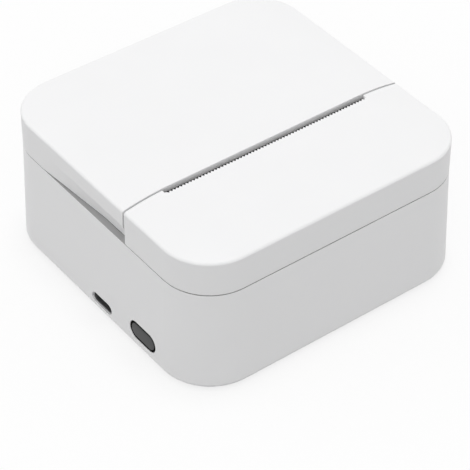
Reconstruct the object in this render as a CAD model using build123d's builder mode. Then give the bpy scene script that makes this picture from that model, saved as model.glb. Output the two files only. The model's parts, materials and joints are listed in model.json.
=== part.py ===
from build123d import *
import math
import os

os.makedirs("parts", exist_ok=True)

# Portable thermal printer for 57 mm paper. Millimetres, +Z up, front at -Y.
# The origin is the centre of the footprint, on the table under the feet.
# The case is worked out from the inside: the paper, the roll, the mechanism
# and the battery set its width, depth and height.

# Paper and roll
paper_width = 57.0
roll_r = 15.0
roll_play = 1.5
side_play = 1.0

# Case walls
corner_r = 14.0
base_z = 0.5
floor_t = 1.5
wall = 2.0
top_t = 2.4
seam_gap = 0.35
flare_angle = 2.0
bottom_edge_r = 1.3
crown_width = 13.6
crown_drop = 1.4
top_edge_r = 0.9
split_gap = 0.6
seat_t = 1.0
side_room = 4.8
fit = 0.15

# Finger undercut along the lower side edges of the lid
grip_height = 5.35
grip_depth = 1.9
grip_full = 10.5
grip_fade = 25.5
grip_rib = 0.9
grip_end = 0.02

# Paper slot and tear edge
slot_gap = 1.7
tear_over = 3.8
tear_depth = 0.65
tear_pitch = 0.98
slot_relief = 0.7
tear_edge_t = 0.8

# Lid hinge
hinge_inset = 3.8
hinge_gap = 0.4
pin_r = 1.0
pin_play = 0.05
pin_end_play = 0.2
knuckle_r = 3.5
knuckle_width = 6.0
knuckle_set = 5.0
knuckle_clear = 0.6
lug_r = 3.2
lug_t = 2.0

# Paper bay: trough, deck and guide
bay_t = 1.2
bay_rise = 3.3
deck_t = 1.5
deck_drop = 2.1
deck_lip = 0.3
deck_rear = 2.1
guide_drop = 2.5
guide_gap = 2.5
path_gap = 3.8
bay_foot_x = 19.0
bay_foot_w = 1.5
bay_foot_l = 8.0
sensor_x = -10.0
sensor_set = 5.5
sensor_w = 4.0
sensor_l = 3.0
sensor_board_w = 7.0
sensor_board_l = 4.5
sensor_board_t = 0.8

# Platen roller, carried by the lid
platen_lift = 10.5
platen_r = 4.5
platen_over = 0.5
rubber_chamfer = 0.4
shaft_r = 1.5
shaft_play = 0.03
shaft_over = 0.6
shaft_chamfer = 0.3
bushing_r = 2.0
bushing_flange_r = 2.6
bushing_flange_t = 0.3
nip_set = 1.0
nip_gap = 0.2
seam_drop = 2.4
lid_room = 1.0
arm_r = 2.8
arm_t = 1.2
arm_gap = 0.45
arm_play = 0.5
bracket_t = 1.6
bracket_margin = 1.6
bracket_screw_x = 20.0
bracket_screw_set = 5.6
bracket_screw_bite = 1.2

# Print head, measured up and down from the axis of the roller
head_half = 27.0
ceramic_t = 1.0
ceramic_down = 4.0
ceramic_up = 4.5
heater_r = 0.35
sink_t = 3.0
sink_down = 6.0
sink_up = 5.0
sink_rib_t = 0.8
head_pivot_down = 4.5
head_pivot_r = 1.0
spring_t = 0.25
spring_half = 18.0
spring_w = 4.0
spring_gap = 0.35
web_gap = 1.9
web_down = 6.5

# Mechanism chassis, bent from sheet
plate_t = 1.0
plate_rise = 1.65
plate_up = 3.5
plate_behind = 4.0
plate_cut = 1.5
notch_play = 0.3
foot_set = 3.1
foot_length = 7.0
foot_before = 1.2
post_r = 2.6
post_bite = 2.5

# Gear train and motor
module = 0.5
pressure_angle = 20.0
root_share = 1.25
backlash = 0.16
platen_teeth = 14
idler_teeth = 24
small_teeth = 14
large_teeth = 32
pinion_teeth = 12
gear_t = 2.0
gear_gap = 0.8
gear_play = 0.5
axle_r = 0.8
axle_play = 0.04
axle_head_r = 1.4
axle_head_t = 0.3
motor_set = 10.0
motor_rise = 4.15
motor_clear = 0.35
motor_r = 7.0
motor_length = 14.0
motor_shaft_r = 0.75
motor_nose = 3.0
motor_boss_r = 2.4
motor_ear = 8.8
motor_ear_r = 2.0
motor_ear_t = 0.8
motor_ear_turn = 60.0
motor_screw_r = 0.8
can_chamfer = 0.6
terminal_w = 7.0
terminal_l = 6.0
terminal_h = 1.6

# Charging inlet, button and switch
usb_set = 10.15
usb_rise = 0.25
usb_w = 8.9
usb_h = 3.3
usb_fit = 0.1
usb_recess = 0.5
usb_length = 7.3
usb_shell_t = 0.3
usb_back_t = 0.5
tongue_w = 6.7
tongue_t = 0.7
tongue_edge_r = 0.25
tongue_back = 1.6
button_set = 8.2
button_clear = 0.27
button_w = 11.3
button_h = 5.6
button_gap = 0.25
button_flange = 0.8
button_flange_t = 0.8
button_sink = 0.1
button_chamfer = 0.25
stem_r = 1.2
stem_rise = 0.32
stem_length = 1.2
switch_gap = 0.7
switch_w = 4.5
switch_h = 2.2
switch_depth = 3.4
plunger_length = 0.9

# Main board and the parts on it
board_t = 1.0
board_gap = 0.25
board_clear = 1.2
board_behind = 0.85
board_reach = 4.5
board_corner_r = 1.5
board_post_r = 1.8
board_screw_bite = 2.0
hole_set = 2.5
hole_left = 4.8
hole_inlet = 7.8
hole_right = 3.0
cable_set = 1.5
cable_w = 20.0
cable_t = 0.3
cable_rise = 4.5
cable_step = 3.5
cable_bend_r = 1.5
socket_end = 1.5
socket_depth = 2.6
socket_h = 1.5
battery_socket_x = 10.0
battery_socket_w = 6.0
chip_w = 7.0
chip_h = 1.0
chip_left_x = -18.0
chip_right_x = 8.0
chip_front = 9.0
chip_rear = 7.0
radio_left = 20.75
radio_rear = 5.5
radio_w = 16.0
radio_l = 10.0
radio_h = 1.9
radio_corner_r = 0.8

# Battery
battery_x = 50.0
battery_t = 9.0
battery_h = 30.0
battery_gap = 1.5
battery_edge_r = 2.0
fence_t = 1.2
fence_h = 10.0
fence_x = 40.0

# Screws, columns, ribs and feet
screw_set_x = 9.0
screw_set_front = 10.2
screw_set_back = 10.7
column_r = 3.2
column_drop = 5.1
screw_r = 1.0
screw_head_r = 2.2
screw_head_h = 1.6
screw_seat_drop = 6.0
screw_length = 9.5
screw_play = 0.05
head_play = 0.3
small_screw_r = 0.8
small_head_r = 1.6
small_head_h = 0.9
foot_pad_r = 4.6
foot_pad_t = 1.0
foot_chamfer = 0.3
rib_t = 1.5
rib_depth = 3.0
rib_front = 6.5
rib_pitch = 18.0

# Across: from the paper out to the walls
bay_half = paper_width / 2 + side_play
platen_length = paper_width + platen_over
tear_width = paper_width + 2 * tear_over
arm_x = platen_length / 2 + arm_gap
plate_x = arm_x + arm_t + arm_play
gear_x = plate_x + plate_t + gear_play
outer_gear_x = gear_x + gear_t + gear_gap
gear_end = outer_gear_x + gear_t + lid_room
width = 2 * (outer_gear_x + gear_t + side_room + wall)
knuckle_x = width / 2 - corner_r - knuckle_set - knuckle_width / 2
pin_length = knuckle_width + 2 * (hinge_gap + lug_t - pin_end_play)
screw_x = width / 2 - screw_set_x
foot_x = plate_x - foot_set
board_left = board_gap + wall + fit + button_flange_t - width / 2
board_right = foot_x - post_r - board_clear

# Along: the roll and the roller behind the slot, motor and battery before it
bay_r = roll_r + roll_play
platen_back = 2 * platen_r + nip_gap - nip_set
bay_back = platen_back + path_gap + 2 * bay_r + bay_t + deck_rear
lid_depth = bay_back + knuckle_clear + knuckle_r + hinge_inset
motor_front = motor_set + motor_r + motor_clear
cap_depth = motor_front + fence_t + fit + battery_t + battery_gap + wall
depth = cap_depth + lid_depth
back_y = depth / 2
lid_front = back_y - lid_depth
head_y = lid_front - nip_set
platen_y = head_y + nip_gap + platen_r
bay_front = platen_y + platen_r + path_gap
bay_y = bay_front + bay_r
deck_front = bay_front - bay_t - deck_lip
deck_back = bay_y + bay_r + bay_t + deck_rear
guide_front = head_y + guide_gap
sensor_y = guide_front + sensor_set
hinge_y = back_y - hinge_inset
head_pivot_y = head_y - ceramic_t - sink_t / 2
web_y = head_y - ceramic_t - sink_t - web_gap
motor_y = lid_front - motor_set
plate_back = platen_y + plate_behind
plate_front = motor_y - motor_r
foot_y = platen_y - foot_before
bracket_screw_y = platen_y + bracket_screw_set
bracket_back = bracket_screw_y + bracket_margin
battery_y = battery_t / 2 + battery_gap + wall - back_y
fence_y = battery_y + battery_t / 2 + fit + fence_t / 2
board_front = fence_y + fence_t / 2 + board_behind
board_back = bay_front + board_reach
usb_y = lid_front + usb_set
button_y = lid_front - button_set
cable_y = head_y + cable_set
screw_front = screw_set_front - back_y
screw_back = back_y - screw_set_back

# Up: from the floor through the roll and the roller to the cover
floor_z = base_z + floor_t
bay_z = floor_z + bay_rise + bay_t + bay_r
platen_z = bay_z + platen_lift
seam_z = platen_z - seam_drop
ceiling = platen_z + platen_r + lid_room + bracket_t
height = ceiling + top_t
lid_low = seam_z + seam_gap
hinge_z = lid_low + hinge_inset
grip_z = lid_low + grip_height
deck_z = seam_z - deck_drop
guide_z = platen_z - platen_r - guide_drop
ceramic_low = platen_z - ceramic_down
ceramic_high = platen_z + ceramic_up
sink_low = platen_z - sink_down
sink_high = platen_z + sink_up
head_pivot_z = platen_z - head_pivot_down
spring_low = platen_z - spring_w / 2
usb_z = floor_z + usb_rise + usb_h / 2 - usb_fit
board_low = usb_z + usb_h / 2 - usb_fit
board_top = board_low + board_t
button_z = floor_z + button_clear + button_flange + button_h / 2
stem_lift = board_top + stem_rise + stem_r - button_z
plate_low = board_top + plate_rise
plate_high = platen_z + plate_up
web_low = platen_z - web_down
idler_z = platen_z - module * (platen_teeth + idler_teeth) / 2
motor_z = board_top + motor_rise + motor_r
cable_bend_high = sink_low - cable_rise
cable_bend_low = cable_bend_high - cable_step
column_joint = seam_z - column_drop
screw_seat = column_joint - screw_seat_drop

# Places of the lesser parts
slope = math.tan(math.radians(flare_angle))
flare = (seam_z - base_z) * slope
bracket_screw_places = [(x, bracket_screw_y) for x in (-bracket_screw_x, 0, bracket_screw_x)]
ear_lean = math.radians(motor_ear_turn)
motor_screw_places = [
    (
        motor_y + side * motor_ear * math.cos(ear_lean),
        motor_z + side * motor_ear * math.sin(ear_lean),
    )
    for side in (-1, 1)
]
board_holes = [
    (board_left + hole_left, board_front + hole_set),
    (board_left + hole_inlet, board_back - hole_set),
    (board_right - hole_right, board_front + hole_set),
    (board_right - hole_right, board_back - hole_set),
]
chip_places = (
    (chip_left_x, board_front + chip_front),
    (chip_right_x, board_back - chip_rear),
)


def case_outline(z, inset):
    """Plan outline of the flared housing at a height, drawn in by an inset."""
    grow = 2 * ((seam_z - z) * slope - inset)
    radius = corner_r + grow / 2
    return RectangleRounded(width + grow, depth + grow, radius)


def left_wall(y, z):
    """Plane on the outside of the flared left wall, its normal pointing out."""
    x = -width / 2 - (seam_z - z) * slope
    tilt = math.radians(flare_angle)
    normal = (-math.cos(tilt), 0, math.sin(tilt))
    return Plane(origin=(x, y, z), x_dir=(0, -1, 0), z_dir=normal)


def finish(piece, name):
    """Label a finished piece and write its file."""
    piece.part.label = name
    export_step(piece.part, "parts/" + name + ".step")


def turn_from(start, end):
    """Direction from one gear centre to another, in the YZ plane."""
    return math.atan2(end[1] - start[1], end[0] - start[0])


def mate_phase(phase, teeth, mate_teeth, direction):
    """Angle of a tooth on the mating gear, so that the two gears are in mesh."""
    lead = (phase - direction) * teeth / mate_teeth
    return direction + math.pi - lead + math.pi / mate_teeth


def gear_points(centre, teeth, phase):
    """Outline of a spur gear with straight flanks, four points to a tooth."""
    pitch_r = module * teeth / 2
    tip_r = pitch_r + module
    root_r = pitch_r - root_share * module
    half = (math.pi * module / 2 - backlash) / 2
    lean = math.tan(math.radians(pressure_angle))
    half_tip = (half - module * lean) / tip_r
    half_root = (half + root_share * module * lean) / root_r
    points = []
    for tooth in range(teeth):
        middle = phase + 2 * math.pi * tooth / teeth
        corners = ((root_r, -half_root), (tip_r, -half_tip), (tip_r, half_tip), (root_r, half_root))
        for radius, turn in corners:
            y = centre[0] + radius * math.cos(middle + turn)
            z = centre[1] + radius * math.sin(middle + turn)
            points.append((y, z))
    return points


# Outside form of the cover: a rounded block, crowned towards every edge
with BuildPart() as cover_form:
    with BuildSketch(Plane.XY.offset(lid_low)):
        RectangleRounded(width, depth, corner_r)
    extrude(amount=height - lid_low)

with BuildLine(Plane.XY.offset(height)) as rim_path:
    side_run = Line((width / 2, 0), (width / 2, depth / 2 - corner_r))
    corner_turn = JernArc(side_run @ 1, side_run % 1, corner_r, 90)
    Line(corner_turn @ 1, (0, depth / 2))
    mirror(about=Plane.YZ)
    mirror(about=Plane.XZ)

with BuildPart() as crown_cutter:
    with BuildSketch(Plane.XZ):
        with BuildLine():
            crown_start = (width / 2 - crown_width, height)
            crown_end = (width / 2, height - crown_drop)
            TangentArc(crown_start, crown_end, tangent=(1, 0))
            Polyline(
                crown_end,
                (width / 2 + wall, height - crown_drop),
                (width / 2 + wall, height + wall),
                (crown_start[0], height + wall),
                crown_start,
            )
        make_face()
    sweep(path=rim_path.wire())

with BuildPart() as crowned_cover:
    add(cover_form.part)
    add(crown_cutter.part, mode=Mode.SUBTRACT)
    side_top = crowned_cover.faces().filter_by(GeomType.PLANE).filter_by(Axis.Y).sort_by(Axis.Y)[0]
    edge_loop = side_top.edges().sort_by(Axis.Z)[-1]
    rim_z = edge_loop.center().Z
    rim_edges = [e for e in crowned_cover.edges() if abs(e.center().Z - rim_z) < fit]
    fillet(rim_edges, top_edge_r)

# Housing: flared lower shell with its floor, columns, posts, ribs and knuckles
with BuildPart() as housing:
    with BuildSketch(Plane.XY.offset(base_z)):
        case_outline(base_z, 0)
    extrude(amount=seam_z - base_z, taper=flare_angle)
    fillet(housing.faces().sort_by(Axis.Z)[0].edges(), bottom_edge_r)
    with BuildSketch(Plane.XY.offset(floor_z)):
        case_outline(floor_z, wall)
    extrude(amount=seam_z - floor_z, taper=flare_angle, mode=Mode.SUBTRACT)
    # Knuckles of the hinge, on blocks inside the rear wall
    with BuildSketch(Plane.YZ):
        with BuildLine():
            Polyline(
                (hinge_y - knuckle_r, hinge_z),
                (hinge_y - knuckle_r, seam_z - wall),
                (back_y, seam_z - wall - knuckle_r * 2),
                (back_y, seam_z),
                (hinge_y + knuckle_r, seam_z),
                (hinge_y + knuckle_r, hinge_z),
                close=True,
            )
        make_face()
        with Locations((hinge_y, hinge_z)):
            Circle(knuckle_r)
            Circle(pin_r + pin_play, mode=Mode.SUBTRACT)
    knuckle = extrude(amount=knuckle_width / 2, both=True, mode=Mode.PRIVATE)
    for side in (-1, 1):
        add(Pos(side * knuckle_x, 0, 0) * knuckle)
    # Columns for the case screws, posts for the chassis and the board
    with BuildSketch(Plane.XY.offset(floor_z)):
        with Locations((screw_x, screw_front), (-screw_x, screw_front)):
            Circle(column_r)
        with Locations((screw_x, screw_back), (-screw_x, screw_back)):
            Circle(column_r)
    extrude(amount=column_joint - floor_z)
    with BuildSketch(Plane.XY.offset(floor_z)):
        with Locations((foot_x, foot_y), (-foot_x, foot_y)):
            Circle(post_r)
    extrude(amount=plate_low - floor_z)
    with BuildSketch(Plane.XY.offset(floor_z)):
        with Locations(*board_holes):
            Circle(board_post_r)
    extrude(amount=board_low - floor_z)
    with BuildSketch(Plane.XY.offset(board_low)):
        with Locations(*board_holes):
            Circle(small_screw_r + screw_play)
    extrude(amount=floor_z - board_low, mode=Mode.SUBTRACT)
    with BuildSketch(Plane.XY.offset(plate_low)):
        with Locations((foot_x, foot_y), (-foot_x, foot_y)):
            Circle(small_screw_r + screw_play)
    extrude(amount=-post_bite - small_head_h, mode=Mode.SUBTRACT)
    # Ribs on the side walls under the deck, and fences around the battery
    with BuildSketch(Plane.XY.offset(floor_z)):
        for side in (-1, 1):
            rib_x = side * (width / 2 - wall - rib_depth / 2 + flare / 2)
            with Locations((rib_x, bay_front + rib_front), (rib_x, bay_front + rib_front + rib_pitch)):
                Rectangle(rib_depth + flare, rib_t)
    extrude(amount=deck_z - floor_z)
    with BuildSketch(Plane.XY.offset(floor_z)):
        with Locations((0, fence_y)):
            Rectangle(fence_x, fence_t)
        for side in (-1, 1):
            with Locations((side * (battery_x / 2 + fit + fence_t / 2), battery_y)):
                Rectangle(fence_t, battery_t)
    extrude(amount=fence_h)
    # Screw passages and the seats of the feet
    for y in (screw_front, screw_back):
        for x in (-screw_x, screw_x):
            with BuildSketch(Plane.XY.offset(base_z)):
                with Locations((x, y)):
                    Circle(foot_pad_r + fit)
            extrude(amount=foot_pad_t - base_z, mode=Mode.SUBTRACT)
            with BuildSketch(Plane.XY.offset(base_z)):
                with Locations((x, y)):
                    Circle(screw_head_r + head_play)
            extrude(amount=screw_seat - base_z, mode=Mode.SUBTRACT)
            with BuildSketch(Plane.XY.offset(screw_seat)):
                with Locations((x, y)):
                    Circle(screw_r + head_play)
            extrude(amount=column_joint - screw_seat, mode=Mode.SUBTRACT)
    # Charging inlet and button, cut square to the flared wall
    with BuildSketch(left_wall(usb_y, usb_z)):
        SlotOverall(usb_w, usb_h)
    extrude(amount=-wall * 2, mode=Mode.SUBTRACT)
    with BuildSketch(left_wall(button_y, button_z)):
        SlotOverall(button_w, button_h)
    extrude(amount=-wall * 2, mode=Mode.SUBTRACT)
finish(housing, "housing")

# Front cap: fixed cover with the serrated tear edge at the slot
with BuildPart() as front_cap:
    add(crowned_cover.part)
    with BuildSketch(Plane.XY.offset(lid_low)):
        RectangleRounded(width - 2 * wall, depth - 2 * wall, corner_r - wall)
    extrude(amount=ceiling - lid_low, mode=Mode.SUBTRACT)
    cap_back = lid_front - split_gap
    with BuildSketch(Plane.XY.offset(lid_low - wall)):
        with Locations((0, (cap_back - back_y - wall) / 2)):
            Rectangle(width + 2 * wall, cap_back + back_y + wall)
    extrude(amount=height, mode=Mode.INTERSECT)
    # Rear walls beside the mechanism
    for side in (-1, 1):
        with BuildSketch(Plane.XY.offset(lid_low)):
            end_width = width / 2 - wall - gear_end + fit
            with Locations((side * (gear_end + end_width / 2), cap_back - wall / 2)):
                Rectangle(end_width, wall)
        extrude(amount=ceiling - lid_low + fit)
    # Tongue that locates the cap inside the housing
    tongue_width, tongue_depth = width - 2 * (wall + seat_t), depth - 2 * (wall + seat_t)
    tongue_inside = (tongue_width, tongue_depth, corner_r - wall - seat_t)
    with BuildSketch(Plane.XY.offset(lid_low)):
        RectangleRounded(width - 2 * wall + fit, depth - 2 * wall + fit, corner_r - wall)
        RectangleRounded(*tongue_inside, mode=Mode.SUBTRACT)
        with Locations((0, (cap_back + back_y) / 2)):
            Rectangle(width, back_y - cap_back, mode=Mode.SUBTRACT)
    extrude(amount=wall)
    with BuildSketch(Plane.XY.offset(seam_z - wall)):
        RectangleRounded(width - 2 * wall - 2 * fit, depth - 2 * wall - 2 * fit, corner_r - wall - fit)
        RectangleRounded(*tongue_inside, mode=Mode.SUBTRACT)
        with Locations((0, (cap_back + back_y) / 2)):
            Rectangle(width, back_y - cap_back, mode=Mode.SUBTRACT)
    extrude(amount=wall + seam_gap)
    # Bosses for the front case screws
    with BuildSketch(Plane.XY.offset(column_joint)):
        with Locations((screw_x, screw_front), (-screw_x, screw_front)):
            Circle(column_r)
    extrude(amount=ceiling - column_joint + fit)
    with BuildSketch(Plane.XY.offset(column_joint)):
        with Locations((screw_x, screw_front), (-screw_x, screw_front)):
            Circle(screw_r + screw_play)
    extrude(amount=screw_length, mode=Mode.SUBTRACT)
    # Paper slot, cut with one tooth for every pitch
    slot_line = lid_front - slot_gap
    with BuildSketch(Plane.XY.offset(ceiling - fit)):
        with Locations((0, slot_line)):
            Rectangle(tear_width, 2 * tear_depth + 2 * slot_gap, align=(Align.CENTER, Align.MIN))
        tooth_count = int(tear_width / tear_pitch)
        for tooth in range(tooth_count):
            x = (tooth - (tooth_count - 1) / 2) * tear_pitch
            with Locations((x, slot_line)):
                Polygon((-tear_pitch / 2, 0), (0, -tear_depth), (tear_pitch / 2, 0), align=None)
    extrude(amount=height, mode=Mode.SUBTRACT)
    # Underside of the teeth sloped away to a thin edge
    with BuildSketch(Plane.YZ):
        with BuildLine():
            Polyline(
                (slot_line + fit, ceiling - fit),
                (slot_line + fit, height - tear_edge_t),
                (slot_line - top_t + tear_edge_t, ceiling - fit),
                close=True,
            )
        make_face()
    extrude(amount=tear_width / 2, both=True, mode=Mode.SUBTRACT)
finish(front_cap, "front_cap")

# Lid: hinged shell over the paper bay
with BuildPart() as lid:
    add(crowned_cover.part)
    with BuildSketch(Plane.XY.offset(lid_low)):
        RectangleRounded(width - 2 * wall, depth - 2 * wall, corner_r - wall)
    extrude(amount=ceiling - lid_low, mode=Mode.SUBTRACT)
    with BuildSketch(Plane.XY.offset(lid_low)):
        with Locations((0, (lid_front + back_y + wall) / 2)):
            Rectangle(width + 2 * wall, back_y + wall - lid_front)
    extrude(amount=height, mode=Mode.INTERSECT)
    # Front wall behind the slot, open below for the roller and its gear
    with BuildSketch(Plane.XY.offset(lid_low)):
        with Locations((0, lid_front + wall / 2)):
            Rectangle(width - 2 * wall + fit, wall)
    extrude(amount=ceiling - lid_low + fit)
    with BuildSketch(Plane.XY.offset(lid_low - wall)):
        with Locations((0, lid_front)):
            Rectangle(2 * gear_end, 4 * wall)
    extrude(amount=ceiling + wall - lid_low, mode=Mode.SUBTRACT)
    # Side walls thicker behind the finger undercuts
    grip_length = grip_full + grip_fade
    with BuildSketch(Plane.XY.offset(lid_low)):
        for side in (-1, 1):
            with Locations((side * (width / 2 - wall - grip_rib / 2), lid_front + grip_length / 2)):
                Rectangle(grip_rib + fit, grip_length)
    extrude(amount=ceiling - lid_low + fit)
    # Lower edge of the slot relieved, so that the paper runs clear of it
    with BuildSketch(Plane.YZ):
        with BuildLine():
            Polyline(
                (lid_front - fit, ceiling - fit),
                (lid_front - fit, ceiling + slot_relief + fit),
                (lid_front + slot_relief + fit, ceiling - fit),
                close=True,
            )
        make_face()
    extrude(amount=tear_width / 2, both=True, mode=Mode.SUBTRACT)
    with BuildSketch(Plane.XY.offset(ceiling)):
        with Locations(*bracket_screw_places):
            Circle(small_screw_r + screw_play)
    extrude(amount=bracket_screw_bite + fit, mode=Mode.SUBTRACT)
    # Hinge lugs beside each knuckle
    for side in (-1, 1):
        for reach in (-1, 1):
            lug_x = side * knuckle_x + reach * (knuckle_width / 2 + hinge_gap + lug_t / 2)
            with BuildSketch(Plane.YZ.offset(lug_x)):
                with Locations((hinge_y, hinge_z)):
                    Circle(lug_r)
                    with Locations((0, (ceiling - hinge_z + fit) / 2)):
                        Rectangle(2 * lug_r, ceiling - hinge_z + fit)
            extrude(amount=lug_t / 2, both=True)
    with BuildSketch(Plane.YZ):
        with Locations((hinge_y, hinge_z)):
            Circle(pin_r)
    lug_end = knuckle_x + knuckle_width / 2 + hinge_gap + lug_t
    extrude(amount=lug_end, both=True, mode=Mode.SUBTRACT)
    # Rear edge rounded about the hinge axis, and notched for the knuckles
    with BuildSketch(Plane.YZ):
        with Locations((hinge_y, hinge_z)):
            Rectangle(3 * wall + hinge_inset, 3 * wall + hinge_inset, align=(Align.MIN, Align.MAX))
            Circle(hinge_inset, mode=Mode.SUBTRACT)
    extrude(amount=width, both=True, mode=Mode.SUBTRACT)
    with BuildSketch(Plane.XY.offset(lid_low)):
        for side in (-1, 1):
            with Locations((side * knuckle_x, hinge_y - knuckle_r - hinge_gap)):
                notch_depth = hinge_inset + knuckle_r + hinge_gap + wall
                Rectangle(knuckle_width + 2 * hinge_gap, notch_depth, align=(Align.CENTER, Align.MIN))
    extrude(amount=hinge_inset + knuckle_r + hinge_gap, mode=Mode.SUBTRACT)
    # Finger undercuts, full beside the slot and fading towards the hinge
    for side in (-1, 1):
        edge_x = side * width / 2
        for start, end, near, far in (
            (lid_front - wall, lid_front + grip_full, grip_depth, grip_depth),
            (lid_front + grip_full, lid_front + grip_full + grip_fade, grip_depth, grip_end),
        ):
            for y, reach in ((start, near), (end, far)):
                with BuildSketch(Plane.XZ.offset(-y)):
                    Polygon(
                        (edge_x + side * fit, lid_low - fit),
                        (edge_x + side * fit, grip_z),
                        (edge_x, grip_z),
                        (edge_x - side * reach, lid_low - fit),
                        align=None,
                    )
            loft(ruled=True, mode=Mode.SUBTRACT)
finish(lid, "lid")

# Hinge pins: steel pins, fast in the lugs and free in the knuckles
with BuildPart() as hinge_pins:
    for side in (-1, 1):
        with BuildSketch(Plane.YZ.offset(side * knuckle_x)):
            with Locations((hinge_y, hinge_z)):
                Circle(pin_r)
        extrude(amount=pin_length / 2, both=True)
finish(hinge_pins, "hinge_pins")

# Paper bay: deck, trough for the roll and guide, one moulding
with BuildPart() as paper_bay:
    with BuildSketch(Plane.XY.offset(deck_z)):
        case_outline(deck_z, wall + fit)
        with Locations((0, (deck_front + deck_back) / 2)):
            Rectangle(2 * width, deck_back - deck_front, mode=Mode.INTERSECT)
    extrude(amount=deck_t)
    trough_top = deck_z + deck_t
    with BuildSketch(Plane.YZ):
        with Locations((bay_y, bay_z)):
            Circle(bay_r + bay_t)
            trough_width = 2 * (bay_r + bay_t)
            Rectangle(trough_width, trough_top - bay_z, align=(Align.CENTER, Align.MIN))
        with Locations((bay_y, trough_top)):
            Rectangle(trough_width, bay_r, align=(Align.CENTER, Align.MIN), mode=Mode.SUBTRACT)
    extrude(amount=bay_half + bay_t, both=True)
    # Paper guide in front of the trough, under the roller
    with BuildSketch(Plane.YZ):
        with Locations((guide_front, guide_z)):
            guide_length = bay_y - bay_r - guide_front
            Rectangle(guide_length, bay_t, align=(Align.MIN, Align.MAX))
    extrude(amount=bay_half, both=True)
    # Feet of the trough on the floor
    with BuildSketch(Plane.XY.offset(floor_z)):
        with Locations((bay_foot_x, bay_y), (-bay_foot_x, bay_y)):
            Rectangle(bay_foot_w, bay_foot_l)
    extrude(amount=bay_z - bay_r - floor_z)
    # Hollow for the roll, and the way out for the paper over the front lip
    with BuildSketch(Plane.YZ):
        with Locations((bay_y, bay_z)):
            Circle(bay_r)
            Rectangle(2 * bay_r, height - bay_z, align=(Align.CENTER, Align.MIN))
    extrude(amount=bay_half, both=True, mode=Mode.SUBTRACT)
    with BuildSketch(Plane.YZ):
        with Locations((guide_front, guide_z)):
            Rectangle(bay_y - guide_front, height - guide_z, align=(Align.MIN, Align.MIN))
    extrude(amount=bay_half, both=True, mode=Mode.SUBTRACT)
    # Bosses for the rear case screws
    with BuildSketch(Plane.XY.offset(column_joint)):
        with Locations((screw_x, screw_back), (-screw_x, screw_back)):
            Circle(column_r)
    extrude(amount=deck_z - column_joint)
    with BuildSketch(Plane.XY.offset(column_joint)):
        with Locations((screw_x, screw_back), (-screw_x, screw_back)):
            Circle(screw_r + screw_play)
    extrude(amount=deck_z + deck_t - column_joint, mode=Mode.SUBTRACT)
    # Window for the paper sensor
    with BuildSketch(Plane.XY.offset(guide_z)):
        with Locations((sensor_x, sensor_y)):
            Rectangle(sensor_w + 2 * fit, sensor_l + 2 * fit)
    extrude(amount=-bay_t, mode=Mode.SUBTRACT)
finish(paper_bay, "paper_bay")

# Paper sensor: small optical block, flush in the guide
with BuildPart() as paper_sensor:
    with BuildSketch(Plane.XY.offset(guide_z - bay_t)):
        with Locations((sensor_x, sensor_y)):
            Rectangle(sensor_w, sensor_l)
    extrude(amount=bay_t - fit)
    with BuildSketch(Plane.XY.offset(guide_z - bay_t)):
        with Locations((sensor_x, sensor_y)):
            Rectangle(sensor_board_w, sensor_board_l)
    extrude(amount=-sensor_board_t)
finish(paper_sensor, "paper_sensor")

# Platen: steel shaft, rubber sleeve and gear, turning together
platen_axis = (platen_y, platen_z)
with BuildPart() as platen_rubber:
    with BuildSketch(Plane.YZ):
        with Locations(platen_axis):
            Circle(platen_r)
            Circle(shaft_r, mode=Mode.SUBTRACT)
    extrude(amount=platen_length / 2, both=True)
    chamfer(platen_rubber.edges().filter_by(GeomType.CIRCLE).group_by(SortBy.RADIUS)[-1], rubber_chamfer)
finish(platen_rubber, "platen_rubber")

with BuildPart() as platen_shaft:
    shaft_left = -(plate_x + plate_t + shaft_over)
    shaft_right = gear_x + gear_t + shaft_over
    with BuildSketch(Plane.YZ.offset(shaft_left)):
        with Locations(platen_axis):
            Circle(shaft_r)
    extrude(amount=shaft_right - shaft_left)
    chamfer(platen_shaft.edges().filter_by(GeomType.CIRCLE), shaft_chamfer)
finish(platen_shaft, "platen_shaft")

idler_axis = (platen_y, idler_z)
motor_axis = (motor_y, motor_z)
small_reach = module * (idler_teeth + small_teeth) / 2
large_reach = module * (large_teeth + pinion_teeth) / 2
span = math.dist(idler_axis, motor_axis)
lean = math.acos((small_reach**2 + span**2 - large_reach**2) / (2 * small_reach * span))
swing = turn_from(idler_axis, motor_axis) + lean
reduction_axis = (
    idler_axis[0] + small_reach * math.cos(swing),
    idler_axis[1] + small_reach * math.sin(swing),
)

# Each gear stands with its teeth in mesh, counted on from the platen
down = -math.pi / 2
idler_phase = mate_phase(down, platen_teeth, idler_teeth, down)
to_small = turn_from(idler_axis, reduction_axis)
small_phase = mate_phase(idler_phase, idler_teeth, small_teeth, to_small)
to_pinion = turn_from(reduction_axis, motor_axis)
pinion_phase = mate_phase(to_pinion, large_teeth, pinion_teeth, to_pinion)

with BuildPart() as platen_gear:
    with BuildSketch(Plane.YZ.offset(gear_x)):
        Polygon(*gear_points(platen_axis, platen_teeth, down), align=None)
        with Locations(platen_axis):
            Circle(shaft_r, mode=Mode.SUBTRACT)
    extrude(amount=gear_t)
finish(platen_gear, "platen_gear")

with BuildPart() as idler_gear:
    with BuildSketch(Plane.YZ.offset(gear_x)):
        Polygon(*gear_points(idler_axis, idler_teeth, idler_phase), align=None)
        with Locations(idler_axis):
            Circle(axle_r + axle_play, mode=Mode.SUBTRACT)
    extrude(amount=gear_t)
finish(idler_gear, "idler_gear")

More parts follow.
